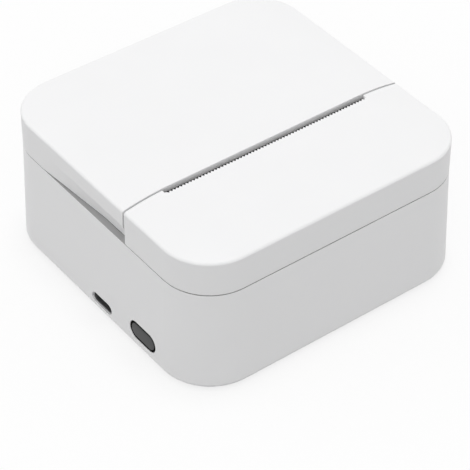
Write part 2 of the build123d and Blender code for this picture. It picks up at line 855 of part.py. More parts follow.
with BuildPart() as reduction_gear:
    with BuildSketch(Plane.YZ.offset(gear_x)):
        Polygon(*gear_points(reduction_axis, small_teeth, small_phase), align=None)
        with Locations(reduction_axis):
            Circle(axle_r + axle_play, mode=Mode.SUBTRACT)
    extrude(amount=gear_t + gear_gap)
    with BuildSketch(Plane.YZ.offset(outer_gear_x)):
        Polygon(*gear_points(reduction_axis, large_teeth, to_pinion), align=None)
        with Locations(reduction_axis):
            Circle(axle_r + axle_play, mode=Mode.SUBTRACT)
    extrude(amount=gear_t)
finish(reduction_gear, "reduction_gear")

with BuildPart() as motor_pinion:
    with BuildSketch(Plane.YZ.offset(outer_gear_x)):
        Polygon(*gear_points(motor_axis, pinion_teeth, pinion_phase), align=None)
    extrude(amount=gear_t)
    with BuildSketch(Plane.YZ.offset(plate_x - motor_nose)):
        with Locations(motor_axis):
            Circle(motor_shaft_r)
    extrude(amount=outer_gear_x + gear_t + gear_gap - plate_x + motor_nose)
finish(motor_pinion, "motor_pinion")

# Bushings of the platen shaft, held in the arms of the bracket
with BuildPart() as platen_bushings:
    for side in (-1, 1):
        inner_end = arm_x - bushing_flange_t
        with BuildSketch(Plane.YZ.offset(side * inner_end)):
            with Locations(platen_axis):
                Circle(bushing_flange_r)
        extrude(amount=side * bushing_flange_t)
        with BuildSketch(Plane.YZ.offset(side * arm_x)):
            with Locations(platen_axis):
                Circle(bushing_r)
        extrude(amount=side * (plate_x + plate_t - arm_x))
    with BuildSketch(Plane.YZ):
        with Locations(platen_axis):
            Circle(shaft_r + shaft_play)
    extrude(amount=width, both=True, mode=Mode.SUBTRACT)
finish(platen_bushings, "platen_bushings")

# Platen bracket: folded plate under the lid, with an arm at each end of the roller
with BuildPart() as platen_bracket:
    bracket_front = lid_front + wall + fit
    with BuildSketch(Plane.XY.offset(ceiling - bracket_t)):
        with Locations((0, (bracket_front + bracket_back) / 2)):
            Rectangle(2 * (arm_x + arm_t), bracket_back - bracket_front)
    extrude(amount=bracket_t)
    for side in (-1, 1):
        with BuildSketch(Plane.YZ.offset(side * arm_x)):
            with Locations(platen_axis):
                Circle(arm_r)
            with Locations((platen_y, platen_z)):
                Rectangle(2 * arm_r, ceiling - platen_z, align=(Align.CENTER, Align.MIN))
        extrude(amount=side * arm_t)
    with BuildSketch(Plane.YZ):
        with Locations(platen_axis):
            Circle(bushing_r)
    extrude(amount=width, both=True, mode=Mode.SUBTRACT)
    with BuildSketch(Plane.XY.offset(ceiling)):
        with Locations(*bracket_screw_places):
            Circle(small_screw_r + screw_play)
    extrude(amount=-bracket_t, mode=Mode.SUBTRACT)
finish(platen_bracket, "platen_bracket")

# Screws that hold the bracket to the lid
with BuildPart() as bracket_screws:
    with BuildSketch(Plane.XY.offset(ceiling - bracket_t - small_head_h)):
        with Locations(*bracket_screw_places):
            Circle(small_head_r)
    extrude(amount=small_head_h)
    with BuildSketch(Plane.XY.offset(ceiling - bracket_t)):
        with Locations(*bracket_screw_places):
            Circle(small_screw_r)
    extrude(amount=bracket_t + bracket_screw_bite)
finish(bracket_screws, "bracket_screws")

# Print head: ceramic strip with its heater line, on a ribbed aluminium sink
with BuildPart() as print_head:
    with BuildSketch(Plane.XY.offset(ceramic_low)):
        with Locations((0, head_y)):
            Rectangle(2 * head_half, ceramic_t, align=(Align.CENTER, Align.MAX))
    extrude(amount=ceramic_high - ceramic_low)
    with BuildSketch(Plane.YZ):
        with Locations((head_y, platen_z)):
            Ellipse(nip_gap / 2, heater_r)
    extrude(amount=head_half - heater_r, both=True)
finish(print_head, "print_head")

with BuildPart() as head_heatsink:
    sink_y = head_y - ceramic_t
    with BuildSketch(Plane.XY.offset(sink_low)):
        with Locations((0, sink_y)):
            Rectangle(2 * head_half, sink_t, align=(Align.CENTER, Align.MAX))
    extrude(amount=sink_high - sink_low)
    # Grooves along the front of the sink, clear of the spring
    with BuildSketch(Plane.YZ):
        for z in (sink_low + 2 * sink_rib_t, sink_high - 2 * sink_rib_t):
            with Locations((sink_y - sink_t, z)):
                Rectangle(sink_t, sink_rib_t)
    extrude(amount=head_half, both=True, mode=Mode.SUBTRACT)
    with BuildSketch(Plane.YZ):
        with Locations((head_pivot_y, head_pivot_z)):
            Circle(head_pivot_r)
    extrude(amount=plate_x + plate_t, both=True)
finish(head_heatsink, "head_heatsink")

# Leaf spring: bowed strip between the web of the chassis and the sink
with BuildPart() as head_spring:
    bow_back = head_y - ceramic_t - sink_t - spring_gap - spring_t / 2
    bow_front = web_y + spring_t / 2
    with BuildSketch(Plane.XY.offset(spring_low)):
        with BuildLine():
            ThreePointArc((-spring_half, bow_back), (0, bow_front), (spring_half, bow_back))
        trace(line_width=spring_t)
    extrude(amount=spring_w)
finish(head_spring, "head_spring")

# Chassis: steel sheet with two side plates, a web and two screwed feet
with BuildPart() as mechanism_chassis:
    for side in (-1, 1):
        with BuildSketch(Plane.YZ.offset(side * plate_x)):
            with BuildLine():
                Polyline(
                    (plate_back, plate_low),
                    (plate_back, plate_high - plate_cut),
                    (plate_back - plate_cut, plate_high),
                    (web_y - plate_t, plate_high),
                    (web_y - plate_t, web_low),
                    (plate_front, motor_z + motor_r - plate_cut),
                    (plate_front, plate_low),
                    close=True,
                )
            make_face()
            with Locations(platen_axis):
                notch_r = bushing_r + notch_play
                Circle(notch_r, mode=Mode.SUBTRACT)
                Rectangle(2 * notch_r, height, align=(Align.CENTER, Align.MIN), mode=Mode.SUBTRACT)
            with Locations((head_pivot_y, head_pivot_z)):
                Circle(head_pivot_r + pin_play, mode=Mode.SUBTRACT)
        extrude(amount=side * plate_t)
        with BuildSketch(Plane.XY.offset(plate_low)):
            with Locations((side * plate_x, foot_y)):
                foot_reach = (Align.MAX if side > 0 else Align.MIN, Align.CENTER)
                Rectangle(plate_x - foot_x + foot_length / 2, foot_length, align=foot_reach)
            with Locations((side * foot_x, foot_y)):
                Circle(small_screw_r + screw_play, mode=Mode.SUBTRACT)
        extrude(amount=plate_t)
    with BuildSketch(Plane.XY.offset(web_low)):
        with Locations((0, web_y)):
            Rectangle(2 * plate_x, plate_t, align=(Align.CENTER, Align.MAX))
    extrude(amount=plate_high - web_low)
    # Holes for the motor and the gear studs in the right-hand plate
    with BuildSketch(Plane.YZ.offset(plate_x)):
        with Locations(motor_axis):
            Circle(motor_boss_r + fit)
        with Locations(*motor_screw_places):
            Circle(motor_screw_r + screw_play)
        with Locations(idler_axis, reduction_axis):
            Circle(axle_r)
    extrude(amount=plate_t, mode=Mode.SUBTRACT)
finish(mechanism_chassis, "mechanism_chassis")

# Screws through the feet of the chassis into the posts
with BuildPart() as chassis_screws:
    with BuildSketch(Plane.XY.offset(plate_low + plate_t)):
        with Locations((foot_x, foot_y), (-foot_x, foot_y)):
            Circle(small_head_r)
    extrude(amount=small_head_h)
    with BuildSketch(Plane.XY.offset(plate_low + plate_t)):
        with Locations((foot_x, foot_y), (-foot_x, foot_y)):
            Circle(small_screw_r)
    extrude(amount=-plate_t - post_bite)
finish(chassis_screws, "chassis_screws")

# Studs that carry the two loose gears, each with a head that keeps its gear on
with BuildPart() as gear_axles:
    for centre, reach in ((idler_axis, gear_t), (reduction_axis, 2 * gear_t + gear_gap)):
        with BuildSketch(Plane.YZ.offset(plate_x)):
            with Locations(centre):
                Circle(axle_r)
        stud_length = gear_x - plate_x + reach + fit
        extrude(amount=stud_length + axle_head_t)
        with BuildSketch(Plane.YZ.offset(plate_x + stud_length)):
            with Locations(centre):
                Circle(axle_head_r)
        extrude(amount=axle_head_t)
finish(gear_axles, "gear_axles")

# Stepper motor: can, mounting ears and terminal block
with BuildPart() as stepper_motor:
    with BuildSketch(Plane.YZ.offset(plate_x)):
        with Locations(motor_axis):
            Circle(motor_r)
    extrude(amount=-motor_length)
    chamfer(stepper_motor.edges().sort_by(Axis.X)[0], can_chamfer)
    with BuildSketch(Plane.YZ.offset(plate_x)):
        with Locations(motor_axis):
            SlotCenterToCenter(2 * motor_ear, 2 * motor_ear_r, rotation=motor_ear_turn)
        with Locations(*motor_screw_places):
            Circle(motor_screw_r + screw_play, mode=Mode.SUBTRACT)
    extrude(amount=-motor_ear_t)
    with BuildSketch(Plane.YZ.offset(plate_x)):
        with Locations(motor_axis):
            Circle(motor_boss_r)
    extrude(amount=plate_t)
    with BuildSketch(Plane.YZ.offset(plate_x)):
        with Locations(motor_axis):
            Circle(motor_shaft_r + axle_play)
    extrude(amount=plate_t, mode=Mode.SUBTRACT)
    with BuildSketch(Plane.YZ.offset(plate_x)):
        with Locations(motor_axis):
            Circle(motor_shaft_r + axle_play)
    extrude(amount=-motor_nose - fit, mode=Mode.SUBTRACT)
    with BuildSketch(Plane.XY.offset(motor_z + motor_r - fit)):
        with Locations((plate_x - motor_length / 2, motor_y)):
            Rectangle(terminal_w, terminal_l)
    extrude(amount=terminal_h)
finish(stepper_motor, "stepper_motor")

with BuildPart() as motor_screws:
    with BuildSketch(Plane.YZ.offset(plate_x + plate_t)):
        with Locations(*motor_screw_places):
            Circle(small_head_r)
    extrude(amount=small_head_h)
    with BuildSketch(Plane.YZ.offset(plate_x + plate_t)):
        with Locations(*motor_screw_places):
            Circle(motor_screw_r)
    extrude(amount=-plate_t - motor_ear_t)
finish(motor_screws, "motor_screws")

# Main board on its posts, with a clearance hole for the chassis post
with BuildPart() as main_board:
    with BuildSketch(Plane.XY.offset(board_low)):
        with Locations(((board_left + board_right) / 2, (board_front + board_back) / 2)):
            RectangleRounded(board_right - board_left, board_back - board_front, board_corner_r)
        with Locations((-foot_x, foot_y)):
            Circle(post_r + 2 * fit, mode=Mode.SUBTRACT)
        with Locations(*board_holes):
            Circle(small_screw_r + screw_play, mode=Mode.SUBTRACT)
    extrude(amount=board_t)
finish(main_board, "main_board")

with BuildPart() as board_screws:
    with BuildSketch(Plane.XY.offset(board_top)):
        with Locations(*board_holes):
            Circle(small_head_r)
    extrude(amount=small_head_h)
    with BuildSketch(Plane.XY.offset(board_top)):
        with Locations(*board_holes):
            Circle(small_screw_r)
    extrude(amount=-board_t - board_screw_bite)
finish(board_screws, "board_screws")

# Flat parts on the board: sockets, control and driver chips, radio module
with BuildPart() as board_sockets:
    with BuildSketch(Plane.XY.offset(board_top)):
        with Locations((0, cable_y)):
            Rectangle(cable_w + 2 * socket_end, socket_depth)
        with Locations((battery_socket_x, board_front + socket_depth)):
            Rectangle(battery_socket_w, socket_depth)
    extrude(amount=socket_h)
finish(board_sockets, "board_sockets")

with BuildPart() as board_chips:
    with BuildSketch(Plane.XY.offset(board_top)):
        with Locations(*chip_places):
            Rectangle(chip_w, chip_w)
    extrude(amount=chip_h)
finish(board_chips, "board_chips")

with BuildPart() as radio_module:
    with BuildSketch(Plane.XY.offset(board_top)):
        with Locations((board_left + radio_left, board_back - radio_rear)):
            RectangleRounded(radio_w, radio_l, radio_corner_r)
    extrude(amount=radio_h)
finish(radio_module, "radio_module")

# Flat cable from the board up to the head
with BuildPart() as head_cable:
    with BuildSketch(Plane.YZ):
        with BuildLine():
            FilletPolyline(
                (cable_y, board_top + socket_h),
                (cable_y, cable_bend_low),
                (head_pivot_y, cable_bend_high),
                (head_pivot_y, sink_low - spring_gap),
                radius=cable_bend_r,
            )
        trace(line_width=cable_t)
    extrude(amount=cable_w / 2, both=True)
finish(head_cable, "head_cable")

# Charging inlet: drawn steel shell with its contact tongue, level under the board
usb_mouth = left_wall(usb_y, usb_z).origin + Vector(usb_recess, 0, 0)
usb_face = Plane(origin=usb_mouth, x_dir=(0, -1, 0), z_dir=(-1, 0, 0))
with BuildPart() as usb_shell:
    with BuildSketch(usb_face):
        SlotOverall(usb_w - 2 * usb_fit, usb_h - 2 * usb_fit)
    extrude(amount=-usb_length)
    with BuildSketch(usb_face):
        SlotOverall(usb_w - 2 * usb_fit - 2 * usb_shell_t, usb_h - 2 * usb_fit - 2 * usb_shell_t)
    extrude(amount=-usb_length + usb_back_t, mode=Mode.SUBTRACT)
finish(usb_shell, "usb_shell")

with BuildPart() as usb_tongue:
    with BuildSketch(usb_face.offset(usb_back_t - usb_length)):
        RectangleRounded(tongue_w, tongue_t, tongue_edge_r)
    extrude(amount=usb_length - usb_back_t - tongue_back)
finish(usb_tongue, "usb_tongue")

# Power button: cap with a flange behind the wall and a stem for the switch
button_face = left_wall(button_y, button_z)
with BuildPart() as power_button:
    with BuildSketch(button_face.offset(-button_sink)):
        SlotOverall(button_w - 2 * button_gap, button_h - 2 * button_gap)
    extrude(amount=button_sink - wall - fit)
    chamfer(power_button.faces().sort_by(Axis.X)[0].edges(), button_chamfer)
    with BuildSketch(button_face.offset(-wall - fit)):
        SlotOverall(button_w + 2 * button_flange, button_h + 2 * button_flange)
    extrude(amount=-button_flange_t)
    with BuildSketch(button_face.offset(-wall - fit - button_flange_t)):
        with Locations((0, stem_lift)):
            Circle(stem_r)
    extrude(amount=-stem_length)
finish(power_button, "power_button")

# Side push switch behind the stem
switch_face = button_face.offset(-wall - fit - button_flange_t - stem_length - switch_gap)
with BuildPart() as power_switch:
    switch_x = switch_face.origin.X + plunger_length
    with BuildSketch(Plane.XY.offset(board_top)):
        with Locations((switch_x, button_y)):
            Rectangle(switch_depth, switch_w, align=(Align.MIN, Align.CENTER))
    extrude(amount=switch_h)
    with BuildSketch(Plane.YZ.offset(switch_x)):
        with Locations((button_y, board_top + switch_h / 2)):
            Rectangle(switch_w / 2, switch_h / 2)
    extrude(amount=-plunger_length)
finish(power_switch, "power_switch")

# Battery between its fences along the front wall
with BuildPart() as battery_pack:
    with BuildSketch(Plane.XY.offset(floor_z)):
        with Locations((0, battery_y)):
            RectangleRounded(battery_x, battery_t, battery_edge_r)
    extrude(amount=battery_h)
finish(battery_pack, "battery_pack")

# Case screws, up through the columns, and the feet that hide them
screw_places = [
    (x, y, 0) for x in (-screw_x, screw_x) for y in (screw_front, screw_back)
]
with BuildPart() as case_screws:
    for place in screw_places:
        with BuildSketch(Plane.XY.offset(screw_seat - screw_head_h)):
            with Locations(place):
                Circle(screw_head_r)
        extrude(amount=screw_head_h)
        with BuildSketch(Plane.XY.offset(screw_seat)):
            with Locations(place):
                Circle(screw_r)
        extrude(amount=screw_length)
finish(case_screws, "case_screws")

with BuildPart() as rubber_feet:
    with BuildSketch(Plane.XY):
        with Locations(*screw_places):
            Circle(foot_pad_r)
    extrude(amount=foot_pad_t)
    chamfer(rubber_feet.edges().group_by(Axis.Z)[0], foot_chamfer)
finish(rubber_feet, "rubber_feet")
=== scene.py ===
import json
import math

import bmesh
import bpy
from mathutils import Matrix, Vector


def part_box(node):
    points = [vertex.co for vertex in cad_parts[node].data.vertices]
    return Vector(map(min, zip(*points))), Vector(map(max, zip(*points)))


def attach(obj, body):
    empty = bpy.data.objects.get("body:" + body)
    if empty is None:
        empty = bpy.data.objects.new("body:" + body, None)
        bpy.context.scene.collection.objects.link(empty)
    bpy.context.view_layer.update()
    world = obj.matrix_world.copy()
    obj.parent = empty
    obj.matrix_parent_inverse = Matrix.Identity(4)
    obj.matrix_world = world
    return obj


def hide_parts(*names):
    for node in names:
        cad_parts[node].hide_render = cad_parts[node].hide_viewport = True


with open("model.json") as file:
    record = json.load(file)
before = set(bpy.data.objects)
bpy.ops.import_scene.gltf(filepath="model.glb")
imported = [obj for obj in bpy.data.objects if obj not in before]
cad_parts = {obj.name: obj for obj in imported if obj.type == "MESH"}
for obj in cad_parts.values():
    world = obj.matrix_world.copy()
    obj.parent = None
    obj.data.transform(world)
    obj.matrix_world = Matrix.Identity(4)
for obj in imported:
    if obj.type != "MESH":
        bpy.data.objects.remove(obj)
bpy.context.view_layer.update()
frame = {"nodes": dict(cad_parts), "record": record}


# Housing, front cap and lid: white ABS mouldings with a fine spark-eroded grain and
# slightly rounded edges. Four screws from below hold the cap and the paper bay down on
# the housing, and the lid turns on two steel pins.
nodes = frame["nodes"]
bodies = frame["record"]["behaviour"]["bodies"]
body_of_node = {node: body for body, members in bodies.items() for node in members}


def new_group(name, inputs, outputs):
    """Empty shader group with number inputs, given with their defaults."""
    group = bpy.data.node_groups.new(name, "ShaderNodeTree")
    for label, value in inputs.items():
        socket = group.interface.new_socket(label, in_out="INPUT", socket_type="NodeSocketFloat")
        socket.default_value = value
    for label, kind in outputs.items():
        group.interface.new_socket(label, in_out="OUTPUT", socket_type="NodeSocket" + kind)
    group.nodes.new("NodeGroupInput")
    group.nodes.new("NodeGroupOutput")
    return group


def noise_of_size(group, size, stretch=(1, 1, 1)):
    """Noise on the piece's own coordinates, with spots of a given size in metres."""
    link = group.links.new
    place = group.nodes.new("ShaderNodeTexCoord")
    spread = group.nodes.new("ShaderNodeMapping")
    spread.inputs["Scale"].default_value = stretch
    scale = group.nodes.new("ShaderNodeMath")
    scale.operation = "DIVIDE"
    scale.inputs[0].default_value = 1.0
    noise = group.nodes.new("ShaderNodeTexNoise")
    link(size, scale.inputs[1])
    link(place.outputs["Object"], spread.inputs["Vector"])
    link(spread.outputs["Vector"], noise.inputs["Vector"])
    link(scale.outputs["Value"], noise.inputs["Scale"])
    return noise.outputs["Fac"]


def moulded_grain():
    """Grain of a mould: a normal for the fine grain, and a mask that clouds the gloss."""
    inputs = {"Grain size": 0.0002, "Grain depth": 0.00001, "Cloud size": 0.015}
    group = new_group("moulded_grain", inputs, {"Normal": "Vector", "Cloud": "Float"})
    given, result = group.nodes["Group Input"], group.nodes["Group Output"]
    bump = group.nodes.new("ShaderNodeBump")
    group.links.new(noise_of_size(group, given.outputs["Grain size"]), bump.inputs["Height"])
    group.links.new(given.outputs["Grain depth"], bump.inputs["Distance"])
    group.links.new(bump.outputs["Normal"], result.inputs["Normal"])
    group.links.new(noise_of_size(group, given.outputs["Cloud size"]), result.inputs["Cloud"])
    return group


grain_group = moulded_grain()


def new_finish(name, metallic=0.0):
    """New material and its Principled shader, for a finish to build on."""
    material = bpy.data.materials.new(name)
    material.use_nodes = True
    shader = material.node_tree.nodes["Principled BSDF"]
    shader.inputs["Metallic"].default_value = metallic
    return material, shader


def tone_between(material, mask, low, high):
    """Colour that runs from low to high with a mask."""
    mix = material.node_tree.nodes.new("ShaderNodeMix")
    mix.data_type = "RGBA"
    mix.inputs["A"].default_value = (*low, 1.0)
    mix.inputs["B"].default_value = (*high, 1.0)
    material.node_tree.links.new(mask, mix.inputs["Factor"])
    return mix.outputs["Result"]


def number_between(material, mask, low, high):
    """Number that runs from low to high with a mask."""
    spread = material.node_tree.nodes.new("ShaderNodeMapRange")
    spread.inputs["To Min"].default_value = low
    spread.inputs["To Max"].default_value = high
    material.node_tree.links.new(mask, spread.inputs["Value"])
    return spread.outputs["Result"]


def moulded(name, dark, light, gloss, grain_size=0.0002, grain_depth=0.000004):
    """Moulded plastic or rubber: two near tones, a clouded gloss and a fine grain."""
    material, shader = new_finish(name)
    link = material.node_tree.links.new
    grain = material.node_tree.nodes.new("ShaderNodeGroup")
    grain.node_tree = grain_group
    grain.inputs["Grain size"].default_value = grain_size
    grain.inputs["Grain depth"].default_value = grain_depth
    link(tone_between(material, grain.outputs["Cloud"], dark, light), shader.inputs["Base Color"])
    link(number_between(material, grain.outputs["Cloud"], *gloss), shader.inputs["Roughness"])
    link(grain.outputs["Normal"], shader.inputs["Normal"])
    return material


def dress(names, material):
    """Give CAD nodes their finish."""
    for name in names:
        nodes[name].data.materials.clear()
        nodes[name].data.materials.append(material)


def place_piece(piece, body, replaced=()):
    """Put a finished piece in the scene, on its body and in place of its CAD nodes."""
    if piece.name not in bpy.context.scene.collection.objects:
        bpy.context.scene.collection.objects.link(piece)
    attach(piece, body)
    if replaced:
        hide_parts(*replaced)
    return piece


merge_reach = 0.000002
flat_turn = math.radians(0.5)
sharp_turn = math.radians(28)
edge_turn = math.radians(35)
crease_height = 0.0002
crease_depth = 0.0006


def merged(name):
    """Editable copy of a CAD node's mesh, with its loose triangles joined at their corners."""
    shape = bmesh.new()
    shape.from_mesh(nodes[name].data)
    bmesh.ops.remove_doubles(shape, verts=shape.verts, dist=merge_reach)
    return shape


def soft_edged(name, material, radius, crease=None):
    """Copy of a CAD node with its flat faces joined and its edges rounded, and with a
    crisp crease along the outer wall at one height, if there is one."""
    shape = merged(name)
    bmesh.ops.dissolve_limit(shape, angle_limit=flat_turn, verts=shape.verts, edges=shape.edges)
    mesh = bpy.data.meshes.new(name + "_moulding")
    shape.to_mesh(mesh)
    shape.free()
    mesh.shade_smooth()
    mesh.set_sharp_from_angle(angle=sharp_turn)
    if crease:
        wall = max(abs(corner.co.x) for corner in mesh.vertices) - crease_depth
        for edge in mesh.edges:
            ends = [mesh.vertices[i].co for i in edge.vertices]
            if all(abs(end.z - crease) < crease_height and abs(end.x) > wall for end in ends):
                edge.use_edge_sharp = True
    mesh.materials.append(material)
    piece = bpy.data.objects.new(name + "_moulding", mesh)
    soften = piece.modifiers.new("soft_edges", "BEVEL")
    soften.width = radius
    soften.segments = 2
    soften.limit_method = "ANGLE"
    soften.angle_limit = edge_turn
    soften.miter_outer = "MITER_ARC"
    even = piece.modifiers.new("even_normals", "WEIGHTED_NORMAL")
    even.keep_sharp = True
    return place_piece(piece, body_of_node[name], [name])


white_shell = moulded(
    "white_shell",
    dark=(0.88, 0.88, 0.885),
    light=(0.9, 0.9, 0.905),
    gloss=(0.42, 0.5),
)
shell_edge = 0.00008
undercut_height = 0.00535
undercut_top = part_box("lid")[0].z + undercut_height
soft_edged("housing", white_shell, shell_edge)
soft_edged("front_cap", white_shell, shell_edge)
soft_edged("lid", white_shell, shell_edge, undercut_top)


# Rim shade strip: a thin grey sheet laid on the rim of the housing, all round. Its grey is painted
# shade:
# it makes the fine dark line between the mouldings, and the dark band under the finger undercut.
def rounded_outline(half_width, half_depth, radius, steps=16):
    """Outline of a rectangle with round corners, in one round from the front left."""
    points = []
    for across, along, start in ((-1, -1, 180), (1, -1, 270), (1, 1, 0), (-1, 1, 90)):
        for step in range(steps + 1):
            turn = math.radians(start + 90 * step / steps)
            x = across * (half_width - radius) + radius * math.cos(turn)
            y = along * (half_depth - radius) + radius * math.sin(turn)
            points.append((x, y))
    return points


def flat_ring(name, outer, inner, low, high, material):
    """Mesh of a flat ring between two outlines with as many points."""
    levels = ((outer, low), (outer, high), (inner, high), (inner, low))
    corners = [(x, y, z) for outline, z in levels for x, y in outline]
    count = len(outer)
    faces = []
    for level in range(len(levels)):
        near = level * count
        far = (level + 1) % len(levels) * count
        for step in range(count):
            ahead = (step + 1) % count
            faces.append((near + step, near + ahead, far + ahead, far + step))
    mesh = bpy.data.meshes.new(name)
    mesh.from_pydata(corners, [], faces)
    mesh.materials.append(material)
    return mesh


# Mid grey in place of white: painted shade for the seam and for the band under the undercut.
painted_shade_grey = moulded(
    "painted_shade_grey",
    dark=(0.4, 0.4, 0.4),
    light=(0.44, 0.44, 0.44),
    gloss=(0.85, 0.95),
    grain_size=0.0003,
    grain_depth=0.00002,
)
rim_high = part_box("lid")[1]
rim_z = 0.0311
corner_radius = 0.014
shade_strip_thick = 0.0001
shade_strip_wide = 0.0019
shade_strip_set = 0.00008


def shade_strip_outline(inset):
    """Outline on the rim, a given way in from its outer edge."""
    return rounded_outline(rim_high.x - inset, rim_high.y - inset, corner_radius - inset)


# This grey strip on the rim paints the shade of the seam and of the band under the undercut.
shade_strip_ring = flat_ring(
    "rim_shade_strip",
    shade_strip_outline(shade_strip_set),
    shade_strip_outline(shade_strip_set + shade_strip_wide),
    rim_z,
    rim_z + shade_strip_thick,
    painted_shade_grey,
)
place_piece(bpy.data.objects.new("rim_shade_strip", shade_strip_ring), "root")


# Power button: dark grey plastic cap with a rounded edge, set in a black skirt whose black paints the
# shade of the gap round the cap. Behind the wall a flange keeps it in, and a stem reaches to the side
# push switch.
def stadium(length, height, steps=12):
    """Outline of a slot with round ends, across and up."""
    radius = height / 2
    reach = length / 2 - radius
    points = []
    for centre, start in ((reach, -90), (-reach, 90)):
        for step in range(steps + 1):
            turn = math.radians(start + 180 * step / steps)
            points.append((centre + radius * math.cos(turn), radius * math.sin(turn)))
    return points


def stacked(rings, place):
    """Solid with closed ends through rings of points, each (outline, depth)."""
    corners = [place(u, v, depth) for outline, depth in rings for u, v in outline]
    count = len(rings[0][0])
    faces = [list(range(count)), list(range(len(corners) - 1, len(corners) - count - 1, -1))]
    for ring in range(len(rings) - 1):
        for step in range(count):
            near, far = ring * count + step, ring * count + (step + 1) % count
            faces.append((near, near + count, far + count, far))
    return corners, faces


def outward(mesh):
    """Turn every face of closed solids outwards."""
    shape = bmesh.new()
    shape.from_mesh(mesh)
    bmesh.ops.recalc_face_normals(shape, faces=shape.faces)
    shape.to_mesh(mesh)
    shape.free()


def solids_piece(name, solids, body, replaced=(), crisp_from=30):
    """Piece made of (corners, faces, material) solids, with crisp edges from a turn in degrees."""
    piece_mesh = bpy.data.meshes.new(name)
    corners, faces, finishes = [], [], []
    for solid_corners, solid_faces, material in solids:
        if material.name not in piece_mesh.materials:
            piece_mesh.materials.append(material)
        finish_index = list(piece_mesh.materials).index(material)
        faces += [[len(corners) + i for i in face] for face in solid_faces]
        finishes += [finish_index] * len(solid_faces)
        corners += solid_corners
    piece_mesh.from_pydata(corners, [], faces)
    piece_mesh.polygons.foreach_set("material_index", finishes)
    outward(piece_mesh)
    piece_mesh.shade_smooth()
    piece_mesh.set_sharp_from_angle(angle=math.radians(crisp_from))
    return place_piece(bpy.data.objects.new(name, piece_mesh), body, replaced)


button_grey = moulded(
    "button_grey",
    dark=(0.044, 0.045, 0.046),
    light=(0.066, 0.067, 0.068),
    gloss=(0.52, 0.6),
    grain_size=0.0005,
    grain_depth=0.00001,
)
# Near black, kept dark with a low sheen: painted shade for the gap round the button cap.
skirt_painted_shade = moulded(
    "skirt_painted_shade",
    dark=(0.003, 0.003, 0.003),
    light=(0.005, 0.005, 0.005),
    gloss=(0.8, 0.9),
)
skirt_sheen = 0.04
skirt_painted_shade.node_tree.nodes["Principled BSDF"].inputs["Specular IOR Level"].default_value = skirt_sheen
wall_lean = math.radians(2.0)
button_length = 0.0101
button_height = 0.0044
button_z = 0.00587
button_skirt = 0.00095
button_edge = 0.00045
button_proud = 0.0001
edge_steps = 4
skirt_sunk = 0.00005
flange_length = 0.0129
flange_height = 0.0072
flange_thick = 0.0008
wall_thick = 0.0022
stem_radius = 0.0012
stem_lift = 0.00195
stem_length = 0.001
stem_flat = 0.000001
button_low, button_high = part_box("power_button")
button_middle = Vector((button_low.x, (button_low.y + button_high.y) / 2, button_z))


def on_wall(u, v, depth):
    """Place on the leaning left wall: along it, up it, and in from the button's face."""
    out = Vector((-math.cos(wall_lean), 0, math.sin(wall_lean)))
    up = Vector((math.sin(wall_lean), 0, math.cos(wall_lean)))
    shift = Vector(((button_height + button_skirt) / 2 * math.sin(wall_lean), 0, 0))
    return tuple(button_middle + shift + Vector((0, -u, 0)) + up * v - out * depth)


edge_rings = []
for step in range(edge_steps + 1):
    turn = math.radians(90 * step / edge_steps)
    shrink = 2 * button_edge * (1 - math.sin(turn))
    outline = stadium(button_length - shrink, button_height - shrink)
    edge_rings.append((outline, button_edge * (1 - math.cos(turn)) - button_proud))
edge_rings.append((stadium(button_length, button_height), wall_thick))
skirt = stadium(button_length + button_skirt, button_height + button_skirt)
flange = stadium(flange_length, flange_height)
# The stem's round ends stand a hair apart, so that none of its corners are doubled.
stem = [(u, v + stem_lift) for u, v in stadium(2 * stem_radius + stem_flat, 2 * stem_radius)]
flange_end = wall_thick + flange_thick
stem_end = flange_end + stem_length
button_solids = [
    (*stacked(edge_rings, on_wall), button_grey),
    (*stacked([(skirt, skirt_sunk), (skirt, wall_thick)], on_wall), skirt_painted_shade),
    (*stacked([(flange, wall_thick), (flange, flange_end)], on_wall), skirt_painted_shade),
    (*stacked([(stem, wall_thick), (stem, stem_end)], on_wall), skirt_painted_shade),
]
solids_piece("button_cap", button_solids, "button", ["power_button"])


# Charging inlet: drawn steel shell with grey plating, and in it a black tongue with a row
# of gold contacts on each side. It is soldered under the board, behind the opening in
# the left wall.
line_stretch = (0.02, 1, 1)


def drawn_lines():
    """Fine lines along X, which rolling and drawing leave on metal."""
    group = new_group("drawn_lines", {"Line width": 0.0002}, {"Lines": "Float"})
    given, result = group.nodes["Group Input"], group.nodes["Group Output"]
    lines = noise_of_size(group, given.outputs["Line width"], line_stretch)
    group.links.new(lines, result.inputs["Lines"])
    return group


line_group = drawn_lines()


def metal(name, dark, light, gloss, line_width=0.0002):
    """Bare or plated metal, with drawn lines in its tone and gloss."""
    material, shader = new_finish(name, metallic=1.0)
    link = material.node_tree.links.new
    lines = material.node_tree.nodes.new("ShaderNodeGroup")
    lines.node_tree = line_group
    lines.inputs["Line width"].default_value = line_width
    link(tone_between(material, lines.outputs["Lines"], dark, light), shader.inputs["Base Color"])
    link(number_between(material, lines.outputs["Lines"], *gloss), shader.inputs["Roughness"])
    return material


grey_plate = metal(
    "grey_plate",
    dark=(0.38, 0.38, 0.385),
    light=(0.44, 0.44, 0.445),
    gloss=(0.35, 0.45),
)
dress(["usb_shell"], grey_plate)
black_plastic = moulded(
    "black_plastic",
    dark=(0.01, 0.01, 0.011),
    light=(0.016, 0.016, 0.017),
    gloss=(0.4, 0.5),
)
dress(["usb_tongue"], black_plastic)
gold = metal("gold", dark=(0.75, 0.52, 0.2), light=(0.85, 0.62, 0.26), gloss=(0.2, 0.3))


